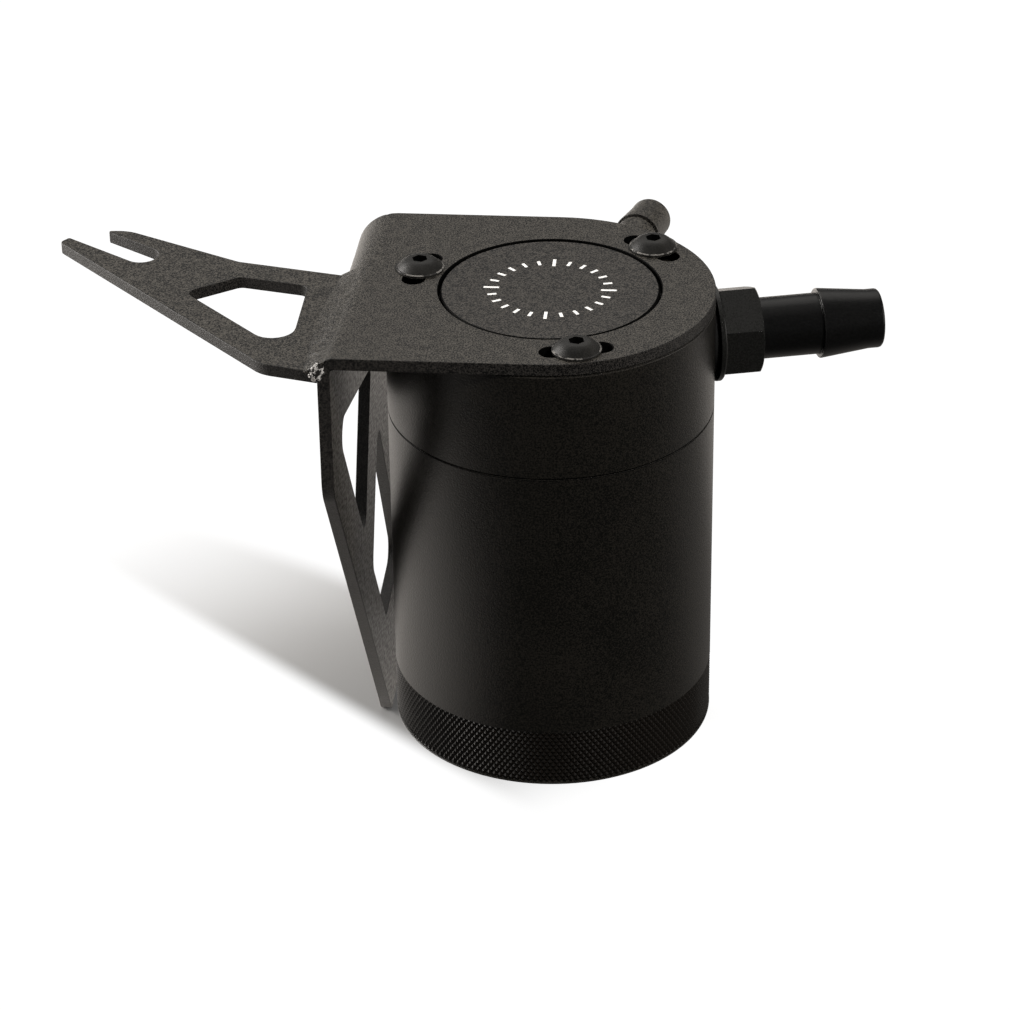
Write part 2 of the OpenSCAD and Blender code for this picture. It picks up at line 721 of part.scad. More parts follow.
module side_fitting() {
    color("#1b1b1c") along_port(side_angle)
        hose_fitting(side_thread_d, side_flange_d, side_hex_af, side_hex_l, side_hex_angle,
                     side_tube_d, side_tube_l, side_barb_d, side_barb_l, side_nose_d, side_bore_d);
}

module rear_fitting() {
    color("#1b1b1c") along_port(rear_angle)
        hose_fitting(rear_thread_d, rear_flange_d, rear_hex_af, rear_hex_l, rear_hex_angle,
                     rear_tube_d, rear_tube_l, rear_barb_d, rear_barb_l, rear_nose_d, rear_bore_d);
}

// The ring that seals a fitting's flange in its spot face
module port_ring(angle, thread_d) {
    along_port(angle) translate([0, 0, flange_s - port_ring_section / 2])
        sealing_ring((port_ring_d(thread_d) - port_ring_section) / 2, port_ring_section);
}

module side_ring() {
    port_ring(side_angle, side_thread_d);
}

module rear_ring() {
    port_ring(rear_angle, rear_thread_d);
}

// A flanged button-head screw with a hexagon socket, for the place at the angle
module cap_screw(angle) {
    tip_chamfer = 0.6;
    head_r = screw_head_d / 2;
    dome_r = head_r - tip_chamfer / 2;
    crown_r = 0.8 * screw_socket_af;
    dome_h = screw_head_h - screw_rim_t;
    color("#2a2a2a") on_circle(angle, screw_circle_d) translate([0, 0, plate_top_z + plate_gap])
        difference() {
            turned() polygon([
                [0, -screw_l], [screw_d / 2 - tip_chamfer, -screw_l],
                [screw_d / 2, tip_chamfer - screw_l], [screw_d / 2, 0], [head_r, 0],
                [head_r, screw_rim_t],
                for (i = [0:dome_steps])
                    [dome_r - (dome_r - crown_r) * i / dome_steps,
                     screw_rim_t + dome_h * sin(90 * i / dome_steps)],
                [0, screw_head_h]]);
            translate([0, 0, screw_head_h - screw_socket_depth])
                cylinder(d = screw_socket_af / cos(30), h = screw_head_h, $fn = 6);
        }
}

module cap_screw_1() {
    cap_screw(screw_angles[0]);
}

module cap_screw_2() {
    cap_screw(screw_angles[1]);
}

module cap_screw_3() {
    cap_screw(screw_angles[2]);
}

// The perforated plate that keeps the oil down in the cup
module baffle_plate() {
    plate_r = cup_bore_r - baffle_gap;
    post_out_r = (post_circle_d + post_d) / 2;
    inner_ring_d = post_circle_d - post_d - drain_d - drain_rim;
    outer_ring_d = post_out_r + plate_r;
    hole_h = baffle_t + 2 * over;
    rings = [for (d = [inner_ring_d / 2, inner_ring_d, outer_ring_d])
        if (d >= 2 * (drain_d + drain_rim)) d];
    color("#8d8f91") translate([0, 0, baffle_z - baffle_t]) difference() {
        cylinder(r = plate_r, h = baffle_t);
        translate([0, 0, -over]) {
            cylinder(d = drain_d, h = hole_h);
            for (ring_d = rings) {
                count = floor(PI * ring_d / drain_pitch);
                for (i = [0 : count - 1])
                    on_circle(i * 360 / count, ring_d) cylinder(d = drain_d, h = hole_h);
            }
            for (angle = post_angles)
                on_circle(angle, post_circle_d) cylinder(d = stud_d + 2 * thread_gap, h = hole_h);
        }
    }
}

// A post from the cap's roof down to the baffle plate, tapped at its foot
module baffle_post(angle) {
    color("#9a9c9e") on_circle(angle, post_circle_d) difference() {
        union() {
            translate([0, 0, baffle_z]) cylinder(d = post_d, h = roof_z - baffle_z);
            translate([0, 0, roof_z - over]) cylinder(d = stud_d, h = stud_l + over);
        }
        translate([0, 0, baffle_z - over])
            cylinder(d = stud_d + 2 * thread_gap, h = baffle_screw_l + over);
    }
}

module baffle_post_1() {
    baffle_post(post_angles[0]);
}

module baffle_post_2() {
    baffle_post(post_angles[1]);
}

module baffle_post_3() {
    baffle_post(post_angles[2]);
}

// A pan-head screw from under the baffle plate up into a post
module baffle_screw(angle) {
    round_r = 0.6;
    driver_slot_w = 0.8;
    tip_room = 1;
    top_h = baffle_t + baffle_screw_l - tip_room;
    head_r = baffle_head_d / 2;
    color("#b3b4b5") on_circle(angle, post_circle_d) translate([0, 0, baffle_z - baffle_t])
        difference() {
            turned() polygon([
                [0, -baffle_head_h], [head_r - round_r, -baffle_head_h],
                [head_r, round_r - baffle_head_h], [head_r, 0],
                [stud_d / 2, 0], [stud_d / 2, top_h], [0, top_h]]);
            translate([-head_r - over, -driver_slot_w / 2, -baffle_head_h - over])
                cube([2 * (head_r + over), driver_slot_w, over + baffle_head_h / 2]);
        }
}

module baffle_screw_1() {
    baffle_screw(post_angles[0]);
}

module baffle_screw_2() {
    baffle_screw(post_angles[1]);
}

module baffle_screw_3() {
    baffle_screw(post_angles[2]);
}

// The nipple that screws up into the outlet boss and carries the filter
module filter_base() {
    spigot_z = filter_top_z - filter_spigot_l;
    color("#b08d3e") difference() {
        union() {
            translate([0, 0, outlet_z - over])
                cylinder(d = outlet_bore_d - 2 * thread_gap, h = filter_thread_l + over);
            translate([0, 0, filter_top_z])
                cylinder(d = filter_hex_af / cos(30), h = filter_hex_h, $fn = 6);
            translate([0, 0, spigot_z])
                cylinder(d = filter_d - 2 * filter_wall - 2 * thread_gap, h = filter_spigot_l + over);
        }
        translate([0, 0, spigot_z - over])
            cylinder(d = filter_bore_d, h = outlet_z + filter_thread_l - spigot_z + 2 * over);
    }
}

// The sintered element, a thimble with a rounded end
module filter_element() {
    r = filter_d / 2;
    nose_r = 1.5 * filter_wall;
    color("#b98a4a") translate([0, 0, filter_top_z]) turned() polygon([
        [0, -filter_l],
        for (a = [-90:15:0]) [r - nose_r * (1 - cos(a)), nose_r * (1 + sin(a)) - filter_l],
        [r, 0], [r - filter_wall, 0], [r - filter_wall, filter_wall - filter_l],
        [0, filter_wall - filter_l]]);
}

bracket_plate();
bracket_arm();
weld_top();
weld_bottom();
cap();
cup();
cup_ring();
side_fitting();
side_ring();
rear_fitting();
rear_ring();
cap_screw_1();
cap_screw_2();
cap_screw_3();
baffle_plate();
baffle_post_1();
baffle_post_2();
baffle_post_3();
baffle_screw_1();
baffle_screw_2();
baffle_screw_3();
filter_base();
filter_element();
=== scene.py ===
import json
import math

import bmesh
import bpy
from mathutils import Matrix, Vector, noise


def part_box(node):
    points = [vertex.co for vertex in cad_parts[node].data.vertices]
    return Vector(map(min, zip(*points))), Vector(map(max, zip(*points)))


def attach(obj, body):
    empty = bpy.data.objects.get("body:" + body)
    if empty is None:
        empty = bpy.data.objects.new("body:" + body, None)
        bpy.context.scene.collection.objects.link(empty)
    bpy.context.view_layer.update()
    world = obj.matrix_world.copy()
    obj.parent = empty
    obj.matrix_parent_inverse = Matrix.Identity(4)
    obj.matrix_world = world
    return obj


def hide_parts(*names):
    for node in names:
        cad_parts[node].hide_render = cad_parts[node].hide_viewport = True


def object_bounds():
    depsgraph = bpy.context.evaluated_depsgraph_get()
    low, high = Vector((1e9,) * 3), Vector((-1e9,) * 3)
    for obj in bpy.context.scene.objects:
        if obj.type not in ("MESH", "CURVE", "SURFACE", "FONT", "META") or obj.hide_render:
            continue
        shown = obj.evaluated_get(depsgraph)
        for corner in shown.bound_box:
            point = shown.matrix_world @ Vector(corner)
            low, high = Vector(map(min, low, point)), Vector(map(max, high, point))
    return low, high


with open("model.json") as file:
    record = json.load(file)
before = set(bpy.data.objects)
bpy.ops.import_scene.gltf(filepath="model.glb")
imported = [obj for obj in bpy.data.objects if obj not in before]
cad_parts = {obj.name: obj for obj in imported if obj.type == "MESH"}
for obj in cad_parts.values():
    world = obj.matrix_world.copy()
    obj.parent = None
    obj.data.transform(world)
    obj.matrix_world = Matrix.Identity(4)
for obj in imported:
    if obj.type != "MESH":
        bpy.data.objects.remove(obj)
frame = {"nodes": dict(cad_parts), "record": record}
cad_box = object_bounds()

MM = 0.001
X, Y, Z = range(3)

# Sizes of the CAD nodes in mm. The can's axis is at 0, 0 and the cup's base at height 0.
can_r = 40.0
grip_h = 15.2
seam, seam_gap, seam_chamfer = 86.4, 0.05, 0.5
port_h, side_port_angle = 101.0, math.radians(14.5)
plate_bottom, plate_top = 114.0, 117.0
boss_r, boss_top = 26.6, 116.8
holes_r = 37.0  # the boss's hole and the screws' slots all lie within this radius
leg_face, leg_rear = -51.6, 35.5
plate_front, plate_rear = -40.0, 40.0
arm_bottom, arm_top = 110.4, 113.4


# Sockets and node trees

class Wire:
    """An output socket; arithmetic on it adds Math nodes."""

    def __init__(self, graph, socket):
        self.graph, self.socket = graph, socket

    def math(self, operation, *others):
        return self.graph.add("ShaderNodeMath", {"operation": operation},
                              dict(enumerate((self, *others))))

    def __add__(self, other):
        return self.math("ADD", other)

    __radd__ = __add__

    def __mul__(self, other):
        return self.math("MULTIPLY", other)

    __rmul__ = __mul__

    def __sub__(self, other):
        return self.math("SUBTRACT", other)

    def __rsub__(self, other):
        return self.graph.add("ShaderNodeMath", {"operation": "SUBTRACT"}, {0: other, 1: self})

    def __truediv__(self, other):
        return self.math("DIVIDE", other)

    def __mod__(self, other):
        return self.math("MODULO", other)

    def floor(self):
        return self.math("FLOOR")

    def clamped(self):
        return self.math("MAXIMUM", 0.0).math("MINIMUM", 1.0)

    def smooth(self, low, high, bottom=0.0, top=1.0):
        """Bottom below low and top above high, with a smooth step between."""
        return self.graph.add("ShaderNodeMapRange", {"interpolation_type": "SMOOTHSTEP"},
                              {"Value": self, "From Min": low, "From Max": high,
                               "To Min": bottom, "To Max": top})


class Graph:
    """The node tree of a material, the world or a Geometry Nodes group."""

    def __init__(self, tree):
        self.tree = tree

    def add(self, kind, settings=(), inputs=(), output=0):
        """A new node with its settings made, then its sockets set or linked; gives one output."""
        node = self.tree.nodes.new(kind)
        for key, value in dict(settings).items():
            setattr(node, key, value)
        for key, value in dict(inputs).items():
            socket = node.inputs[key]
            if isinstance(value, Wire):
                self.tree.links.new(value.socket, socket)
            else:
                socket.default_value = value
        return Wire(self, node.outputs[output]) if node.outputs else node

    def xyz(self, vector):
        return [self.add("ShaderNodeSeparateXYZ", (), {0: vector}, k) for k in range(3)]

    def combine(self, x, y, z):
        return self.add("ShaderNodeCombineXYZ", (), {0: x, 1: y, 2: z})

    def mix(self, factor, first, second):
        """A colour between two; the sockets 6 and 7 and the output 2 are the node's colours."""
        return self.add("ShaderNodeMix", {"data_type": "RGBA"},
                        {0: factor, 6: first, 7: second}, 2)

    def place(self):
        return self.add("ShaderNodeTexCoord", (), (), "Object")

    def cloud(self, size_mm, detail=2.0, roughness=0.5, at=None):
        """Noise whose lumps are about size_mm across, from 0 to 1."""
        return self.add("ShaderNodeTexNoise", (), {
            "Vector": at or self.place(), "Scale": 1 / (size_mm * MM),
            "Detail": detail, "Roughness": roughness})

    def bump(self, height, depth_mm, strength=1.0, under=None):
        """A normal for this height, on top of the bumps of another one."""
        inputs = {"Height": height, "Strength": strength, "Distance": depth_mm * MM}
        if under:
            inputs["Normal"] = under
        return self.add("ShaderNodeBump", (), inputs)


def rgb(red, green, blue):
    """A colour written as it looks on screen, from 0 to 255, for a colour socket."""
    def linear(value):
        value /= 255
        return value / 12.92 if value <= 0.04045 else ((value + 0.055) / 1.055) ** 2.4
    return (linear(red), linear(green), linear(blue), 1.0)


def empty_material(name):
    """A material without nodes, and its graph."""
    material = bpy.data.materials.new(name)
    material.use_nodes = True
    material.node_tree.nodes.clear()
    return material, Graph(material.node_tree)


def surface(name, look):
    """A material whose look the function look(graph) gives as Principled inputs."""
    material, graph = empty_material(name)
    shader = graph.add("ShaderNodeBsdfPrincipled", (), look(graph))
    graph.add("ShaderNodeOutputMaterial", (), {"Surface": shader})
    return material


# Finishes

def powder(dark, light, grain_mm, depth_mm, rough):
    """Textured powder coat between two colours, with grains grain_mm across on a faint peel."""
    peel_mm, peel_depth_mm, peel_share, rough_swing = 2.6, 0.06, 0.15, 0.3

    def look(graph):
        fine = graph.cloud(grain_mm, 1.0)
        peel = graph.cloud(peel_mm, 1.0)
        shade = (fine * (1 - peel_share) + peel * peel_share).smooth(0.38, 0.64)
        return {"Base Color": graph.mix(shade, dark, light),
                "Roughness": rough + (fine - 0.5) * rough_swing,
                "Normal": graph.bump(peel, peel_depth_mm, 1.0, graph.bump(fine, depth_mm))}
    return look


def anodised(dark, light, rough, level, depth_mm=0.05):
    """Black anodised aluminium with a fine blasted grain and broad, faint clouds."""
    grain_mm, broad_mm, broad_share, fine_swing, broad_swing = 0.42, 22, 0.2, 0.2, 0.04

    def look(graph):
        fine = graph.cloud(grain_mm, 1.0)
        broad = graph.cloud(broad_mm)
        shade = (fine * (1 - broad_share) + broad * broad_share).smooth(0.36, 0.66)
        return {"Base Color": graph.mix(shade, dark, light),
                "Roughness": rough + (fine - 0.5) * fine_swing + (broad - 0.5) * broad_swing,
                "Specular IOR Level": level,
                "Normal": graph.bump(fine, depth_mm)}
    return look


def sandy(graph):
    """The coat on the leg's inner face: longer grains, and a gloss that comes and goes."""
    grain_mm, squash, depth_mm, most_gloss = 0.36, 0.15, 0.05, 0.82
    across, along, up = graph.xyz(graph.place())
    grain = graph.cloud(grain_mm, 1.0, at=graph.combine(across, along * squash, up))
    shade = grain.smooth(0.36, 0.64)
    return {"Base Color": graph.mix(shade, rgb(1, 1, 1), rgb(62, 59, 54)), "Roughness": 0.52,
            "Specular IOR Level": 0.12, "Coat Weight": shade * most_gloss,
            "Coat Roughness": 0.5, "Normal": graph.bump(grain, depth_mm)}


def turned_metal(dark, light, rough, metallic=1.0):
    """Machined metal with faint uneven tool marks."""
    mark_mm, broad_mm, depth_mm, rough_swing = 0.25, 5, 0.012, 0.14

    def look(graph):
        fine = graph.cloud(mark_mm, 2.0, 0.6)
        broad = graph.cloud(broad_mm)
        shade = (fine * 0.5 + broad * 0.5).smooth(0.3, 0.7)
        return {"Base Color": graph.mix(shade, dark, light),
                "Metallic": metallic,
                "Roughness": rough + (broad - 0.5) * rough_swing,
                "Normal": graph.bump(fine, depth_mm, 0.5)}
    return look


def rubber(graph):
    """Matte black seal rubber."""
    fine = graph.cloud(0.3)
    return {"Base Color": graph.mix(fine, rgb(16, 16, 16), rgb(30, 30, 30)),
            "Roughness": 0.62 + (fine - 0.5) * 0.2, "Normal": graph.bump(fine, 0.01, 0.4)}


def worn_and_glinting_rim(graph):
    """Black oxide worn through to bright steel in short stretches, the bright steel partly a
    painted highlight.
    """
    worn = graph.cloud(1.6).smooth(0.46, 0.66)
    return {"Base Color": graph.mix(worn, rgb(30, 29, 28), rgb(160, 157, 152)),
            "Metallic": 0.2 + worn * 0.6, "Roughness": 0.42 - worn * 0.12}


def weld_metal(graph):
    """Painted weld with small bright spots where the coat is thin, which also stand as painted
    glints.
    """
    lumps = graph.cloud(0.9, 3.0, 0.6)
    painted_glint_spots = graph.cloud(0.8).smooth(0.47, 0.56)
    return {"Base Color": graph.mix(painted_glint_spots, rgb(34, 33, 32), rgb(192, 190, 187)),
            "Metallic": 0.3, "Roughness": 0.26 + lumps * 0.2,
            "Normal": graph.bump(lumps, 0.25, 0.9)}


def ink(graph):
    """Flat white print."""
    return {"Base Color": graph.mix(graph.cloud(0.4), rgb(226, 226, 224), rgb(244, 244, 242)),
            "Roughness": 0.5}


coat = surface("powder_coat",
               powder(rgb(1, 1, 1), rgb(72, 69, 64), grain_mm=0.38, depth_mm=0.13, rough=0.50))
# A darker copy of the coat for the cut sides, the arm's sides and the bead under the arm: painted
# shade on faces turned from the light.
side_shade_coat = surface("powder_coat_side_shade",
                   powder(rgb(6, 6, 6), rgb(43, 41, 39), grain_mm=0.34, depth_mm=0.13, rough=0.54))
# A darker copy of the coat on the eased edges: painted shade that keeps them from catching light.
shaded_edge_coat = surface("powder_coat_shaded_edge", powder(
    rgb(5, 5, 5), rgb(42, 40, 38), grain_mm=0.34, depth_mm=0.10, rough=0.58))
leg_coat = surface("powder_coat_leg", sandy)
boss_satin = surface("anodised_boss", powder(
    rgb(1, 1, 1), rgb(63, 60, 56), grain_mm=0.38, depth_mm=0.07, rough=0.44))
rear_satin = surface("anodised_rear", powder(
    rgb(4, 4, 4), rgb(72, 69, 64), grain_mm=0.36, depth_mm=0.06, rough=0.50))
satin = surface("anodised_satin",
                anodised(rgb(7, 7, 6), rgb(26, 24, 21), rough=0.39, level=0.42, depth_mm=0.075))
# A lighter copy of the satin on eased edges: painted highlight.
satin_edge_highlight = surface("anodised_edge_highlight",
                     anodised(rgb(26, 24, 22), rgb(40, 38, 35), rough=0.30, level=0.5))
knurled = surface("anodised_knurl",
                  anodised(rgb(9, 7, 5), rgb(15, 12, 9), rough=0.34, level=0.37, depth_mm=0.01))
gloss = surface("anodised_gloss",
                anodised(rgb(4, 4, 4), rgb(9, 9, 9), rough=0.35, level=0.42, depth_mm=0.015))
# A lighter copy of the gloss on eased edges: painted highlight.
gloss_edge_highlight = surface("anodised_gloss_edge_highlight", anodised(
    rgb(14, 14, 14), rgb(20, 20, 19), rough=0.22, level=0.6, depth_mm=0.0))
hex_satin = surface("anodised_hex", anodised(
    rgb(15, 15, 14), rgb(24, 24, 23), rough=0.30, level=0.5, depth_mm=0.015))
# Near-black for hollows and edges that light hardly reaches: painted shade.
painted_shade = surface("painted_shade_black", anodised(rgb(3, 3, 3), rgb(6, 6, 6), rough=0.60, level=0.06))
screw_black = surface("screw_black",
                      turned_metal(rgb(10, 10, 9), rgb(32, 31, 29), rough=0.46, metallic=0.05))
screw_rim_wear_and_glint = surface("screw_rim_wear_and_glint", worn_and_glinting_rim)
aluminium = surface("plain_aluminium",
                    turned_metal(rgb(176, 178, 180), rgb(204, 206, 208), rough=0.34))
zinc = surface("zinc_steel", turned_metal(rgb(180, 180, 178), rgb(206, 206, 204), rough=0.28))
brass = surface("filter_brass", turned_metal(rgb(190, 158, 92), rgb(214, 182, 112), rough=0.30))
bronze = surface("filter_bronze", turned_metal(rgb(146, 112, 70), rgb(184, 148, 98), rough=0.62))
seal = surface("seal_rubber", rubber)
weld = surface("weld_metal", weld_metal)
white_ink = surface("white_ink", ink)

# The CAD nodes that show as they are

inside = {"cup_ring": seal, "side_ring": seal, "rear_ring": seal,
          "baffle_plate": aluminium, "filter_base": brass, "filter_element": bronze}
for number in (1, 2, 3):
    inside[f"baffle_post_{number}"] = aluminium
    inside[f"baffle_screw_{number}"] = zinc
for node, material in inside.items():
    frame["nodes"][node].data.materials.clear()
    frame["nodes"][node].data.materials.append(material)

# Pieces that stand for CAD nodes

body_of = {node: body for body, nodes in frame["record"]["behaviour"]["bodies"].items()
           for node in nodes}


def keep(piece, node, *replaced):
    """Seats a finished piece on the body of a CAD node, and hides the nodes it replaces."""
    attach(piece, body_of[node])
    for other in replaced:
        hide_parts(other)
    return piece


def evaluated(piece):
    """The piece with its modifiers made part of its mesh."""
    bpy.context.view_layer.update()
    mesh = bpy.data.meshes.new_from_object(
        piece.evaluated_get(bpy.context.evaluated_depsgraph_get()))
    piece.modifiers.clear()
    piece.data = mesh
    return piece


def add_piece(name, mesh, materials=()):
    piece = bpy.data.objects.new(name, mesh)
    bpy.context.scene.collection.objects.link(piece)
    for material in materials:
        mesh.materials.append(material)
    return piece


def eased(node, name, materials, ease_mm, reshape=None, cuts=()):
    """A copy of a CAD node with merged faces and eased edges, which take the second material.

    Cuts are pairs of an axis and a place in mm, where new edge loops are made before reshape
    moves the points."""
    merge_mm, cut_mm, flat_angle, edge_angle = 0.002, 0.001, math.radians(0.6), math.radians(30)
    mesh = frame["nodes"][node].data.copy()
    mesh.materials.clear()
    bm = bmesh.new()
    bm.from_mesh(mesh)
    bmesh.ops.remove_doubles(bm, verts=bm.verts, dist=merge_mm * MM)
    bmesh.ops.dissolve_limit(bm, angle_limit=flat_angle, verts=bm.verts, edges=bm.edges)
    for axis, place in cuts:
        across = Vector([float(axis == k) for k in (X, Y, Z)])
        bmesh.ops.bisect_plane(bm, geom=bm.verts[:] + bm.edges[:] + bm.faces[:],
                               dist=cut_mm * MM, plane_co=across * place * MM, plane_no=across)
    if reshape:
        for vertex in bm.verts:
            vertex.co = reshape(vertex.co)
    bm.to_mesh(mesh)
    bm.free()
    if "custom_normal" in mesh.attributes:
        mesh.attributes.remove(mesh.attributes["custom_normal"])
    piece = add_piece(name, mesh, materials)
    for polygon in mesh.polygons:
        polygon.use_smooth = True
    mesh.set_sharp_from_angle(angle=edge_angle)
    bevel = piece.modifiers.new("ease", "BEVEL")
    bevel.width = ease_mm * MM
    bevel.segments = 2
    bevel.limit_method = "ANGLE"
    bevel.angle_limit = edge_angle
    bevel.use_clamp_overlap = False
    bevel.material = 1
    bevel.harden_normals = True
    return keep(evaluated(piece), node, node)


def paint(piece, material, belongs, was=None):
    """Gives a material to the faces for which belongs(centre in mm, normal) is true.

    With was, only faces that had that material so far are painted."""
    materials = list(piece.data.materials)
    number = materials.index(material)
    for polygon in piece.data.polygons:
        if was is None or materials[polygon.material_index] == was:
            if belongs(polygon.center / MM, polygon.normal):
                polygon.material_index = number


def off_axis(centre):
    return math.hypot(centre.x, centre.y)


# The bracket. Its bend over the leg has the sheet's own outer radius at the front and is rolled
# rounder towards the rear, where the leg's end is also drawn back to the plate's.

bend_r, rear_bend_r = 4.0, 10.4
roll_reach = 14.0  # length of straight leg under the bend that may move
drawn_back, still_back = 20.0, 36.0  # ways along the sheet with the rear end fully and not drawn
corner_way = 3.4  # way along the sheet up to which the plate keeps its own rear corner


def bend_at(y):
    """The outer radius in mm of the bend over the leg at this y."""
    share = min(max((y - plate_front) / (leg_rear - plate_front), 0), 1)
    return bend_r + (rear_bend_r - bend_r) * share


def rolled(co):
    """Moves a point of the tight bend onto the rounder one.

    A point is known by its way along the sheet, from the plate down over the bend, and by its
    depth under the outer face. Both stay while the bend's radius changes."""
    x, y, z = co / MM
    if x > leg_face + rear_bend_r or z < plate_top - rear_bend_r - roll_reach:
        return co
    middle_x, middle_z = leg_face + bend_r, plate_top - bend_r
    if x >= middle_x and z >= middle_z:
        way, depth = leg_face + rear_bend_r - x, plate_top - z
    elif z > middle_z:
        way = rear_bend_r - bend_r + bend_r * math.atan2(middle_x - x, z - middle_z)
        depth = bend_r - math.hypot(middle_x - x, z - middle_z)
    else:
        way = rear_bend_r - bend_r + bend_r * math.pi / 2 + middle_z - z
        depth = x - leg_face
    if y > leg_rear - 0.1 and way > corner_way:
        share = min(max((still_back - way) / (still_back - drawn_back), 0), 1)
        y = max(y, leg_rear + (plate_rear - leg_rear) * share)
    new_r = bend_at(y)
    flat = rear_bend_r - new_r
    arc = bend_r * math.pi / 2 + 2 * (new_r - bend_r)
    if way > flat + arc or way < flat:
        return Vector((x, y, z)) * MM
    angle = (way - flat) / arc * math.pi / 2
    return Vector((leg_face + new_r - (new_r - depth) * math.sin(angle), y,
                   plate_top - new_r + (new_r - depth) * math.cos(angle))) * MM


def sheet_cut(centre, normal):
    """True on the laser-cut sides of the folded sheet, which lie across its plate and its leg."""
    past_leg = centre.x > leg_face + 4.2
    if past_leg or centre.z > plate_bottom - 0.4:
        return abs(normal.z) < 0.3 and (past_leg or abs(normal.y) > 0.7)
    return abs(normal.x) < 0.3


bend_loops = (4, 5.4, 7, 8.6, 10.2, 12)
under_plate = plate_bottom - 0.1
bracket = eased("bracket_plate", "bracket_sheet", (coat, shaded_edge_coat, side_shade_coat, painted_shade, leg_coat),
                0.20, reshape=rolled,
                cuts=[(X, leg_face + k) for k in bend_loops]
                + [(Z, plate_top - k) for k in (*bend_loops, 16, 20)]
                + [(Y, k) for k in (-36, -28, -18, -8, 2, 12, 22, 30)])
# The cut sides take the darker copy of the coat: painted shade.
paint(bracket, side_shade_coat, sheet_cut, was=coat)
# The walls of the boss's hole and of the screw slots, and their edges, go near-black: painted
# shade.
paint(bracket, painted_shade, lambda c, n: under_plate < c.z < plate_top + 0.1 and off_axis(c) < holes_r,
      was=side_shade_coat)
paint(bracket, painted_shade, lambda c, n: under_plate < c.z and off_axis(c) < holes_r, was=shaded_edge_coat)
paint(bracket, leg_coat, lambda c, n: n.x > 0.9 and c.z < under_plate, was=coat)

arm = eased("bracket_arm", "arm_sheet", (coat, shaded_edge_coat, side_shade_coat), 0.22)
# The arm's sides take the darker copy of the coat: painted shade.
paint(arm, side_shade_coat, lambda c, n: abs(n.z) < 0.3, was=coat)

# The cap and the cup. The foot's chamfer is 1 mm high, and two cuts give it more rings.

foot_cuts = (1.3, 1.6)
narrow_chamfer = 0.22
found_within = 0.1  # how near to its height or radius a corner is looked for


def joint_edges(co):
    """Narrows the chamfers at the joint between the cap and the cup, and sharpens the foot."""
    radius, height = math.hypot(co.x, co.y) / MM, co.z / MM
    new_radius, new_height = radius, height
    if radius > can_r - 0.7:
        if seam - found_within < height < seam + 0.2 and radius < can_r - 0.3:
            new_radius = can_r - narrow_chamfer
        elif abs(height - (seam + seam_gap + seam_chamfer)) < found_within:
            new_height = seam + seam_gap + narrow_chamfer
        elif abs(height - (seam - seam_chamfer)) < found_within:
            new_height = seam - narrow_chamfer
    if height < grip_h + found_within and can_r - 1.5 < radius < can_r - found_within:
        if height < 0.5:
            new_radius = can_r - 0.1
        elif height < foot_cuts[0] + found_within:
            new_radius, new_height = can_r - 0.01, 0.18 + (height - 1.0) * 0.7
        else:
            new_radius = can_r - 0.53
            new_height = 0.62 if height < foot_cuts[1] + 0.4 else height
    spread = new_radius / max(radius, 1e-6)
    return Vector((co.x * spread, co.y * spread, new_height * MM))


cap = eased("cap", "cap_turned", (satin, satin_edge_highlight, painted_shade, boss_satin), 0.08,
            reshape=joint_edges)
# The cap's shoulder under the plate, the edges at the seam and boss, and the boss's wall go
# near-black: painted shade.
paint(cap, painted_shade, lambda c, n: abs(c.z - plate_bottom) < 0.2
      and boss_r - 0.6 < off_axis(c) < can_r - 0.7)
paint(cap, painted_shade, lambda c, n: c.z < seam + 1.1 and off_axis(c) > can_r - 1, was=satin_edge_highlight)
paint(cap, painted_shade, lambda c, n: c.z > plate_bottom - 0.5, was=satin_edge_highlight)
paint(cap, boss_satin, lambda c, n: c.z > boss_top - 0.1 and n.z > 0.9)
paint(cap, painted_shade, lambda c, n: plate_bottom < c.z < boss_top - 0.01
      and off_axis(c) > boss_r - 0.6)

cup = eased("cup", "cup_turned", (satin, satin_edge_highlight, painted_shade), 0.08, reshape=joint_edges,
            cuts=[(Z, height) for height in foot_cuts])
# The cup's edges at the seam go near-black: painted shade in the joint.
paint(cup, painted_shade, lambda c, n: c.z > seam - 1 and off_axis(c) > can_r - 1, was=satin_edge_highlight)

# The fittings and screws

hex_from = 9.0  # distance from the fitting's own axis past which only its hexagon reaches
side_barb = eased("side_fitting", "side_barb", (gloss, gloss_edge_highlight, hex_satin), 0.12)
paint(side_barb, hex_satin, lambda c, n: math.hypot(
    c.y * math.cos(side_port_angle) - c.x * math.sin(side_port_angle), c.z - port_h) > hex_from,
    was=gloss)
# The rear barb's eased edges are near-black: painted shade.
eased("rear_fitting", "rear_barb", (rear_satin, painted_shade), 0.12)


